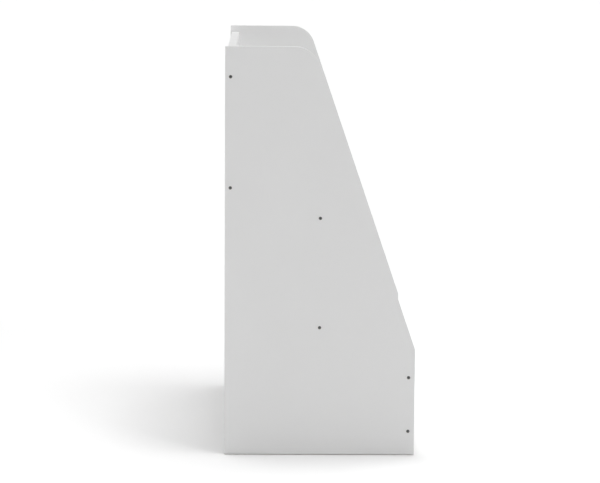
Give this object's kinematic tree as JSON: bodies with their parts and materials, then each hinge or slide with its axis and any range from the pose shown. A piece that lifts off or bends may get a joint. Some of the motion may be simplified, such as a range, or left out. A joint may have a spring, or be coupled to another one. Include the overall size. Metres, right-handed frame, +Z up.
{
  "type": "tiered book display",
  "caption": "Free-standing children's book display of white board, with sloping side panels and two stepped open pockets for books facing forward.",
  "frame": {"origin": "on the floor under the middle of the display: the centre of the bounding box's bottom face", "axes": "+X across, towards the right-hand side panel as seen from the front; +Y from the open front towards the rear; +Z up"},
  "size_m": [0.68, 0.372, 0.8],
  "materials": {
    "white_laminate": "particleboard faced with white satin melamine, with matching plastic edge bands",
    "dark_steel": "dark nickel-plated socket screws",
    "beech": "raw fluted beech",
    "zinc": "die-cast zinc, dull grey",
    "white_plastic": "white soft polyethylene, lightly scuffed"
  },
  "bodies": {
    "root": {"side_panel_left": "white_laminate", "side_panel_right": "white_laminate", "upper_back_panel": "white_laminate", "middle_panel": "white_laminate", "lower_front_panel": "white_laminate", "upper_shelf": "white_laminate", "lower_shelf": "white_laminate", "screw_back_left_upper": "dark_steel", "screw_back_left_lower": "dark_steel", "screw_back_right_upper": "dark_steel", "screw_back_right_lower": "dark_steel", "screw_middle_left_upper": "dark_steel", "screw_middle_left_lower": "dark_steel", "screw_middle_right_upper": "dark_steel", "screw_middle_right_lower": "dark_steel", "screw_front_left_upper": "dark_steel", "screw_front_left_lower": "dark_steel", "screw_front_right_upper": "dark_steel", "screw_front_right_lower": "dark_steel", "dowel_upper_shelf_left_front": "beech", "dowel_upper_shelf_left_rear": "beech", "dowel_upper_shelf_rear_edge_left": "beech", "dowel_upper_shelf_front_edge_left": "beech", "dowel_upper_shelf_right_front": "beech", "dowel_upper_shelf_right_rear": "beech", "dowel_upper_shelf_rear_edge_right": "beech", "dowel_upper_shelf_front_edge_right": "beech", "dowel_lower_shelf_left_front": "beech", "dowel_lower_shelf_left_rear": "beech", "dowel_lower_shelf_rear_edge_left": "beech", "dowel_lower_shelf_front_edge_left": "beech", "dowel_lower_shelf_right_front": "beech", "dowel_lower_shelf_right_rear": "beech", "dowel_lower_shelf_rear_edge_right": "beech", "dowel_lower_shelf_front_edge_right": "beech", "cam_bolt_upper_shelf_left": "zinc", "cam_bolt_upper_shelf_right": "zinc", "cam_bolt_lower_shelf_left": "zinc", "cam_bolt_lower_shelf_right": "zinc", "cam_disc_upper_shelf_left": "zinc", "cam_disc_upper_shelf_right": "zinc", "cam_disc_lower_shelf_left": "zinc", "cam_disc_lower_shelf_right": "zinc", "foot_pad_left_front": "white_plastic", "foot_pad_left_rear": "white_plastic", "foot_pad_right_front": "white_plastic", "foot_pad_right_rear": "white_plastic"}
  },
  "joints": []
}
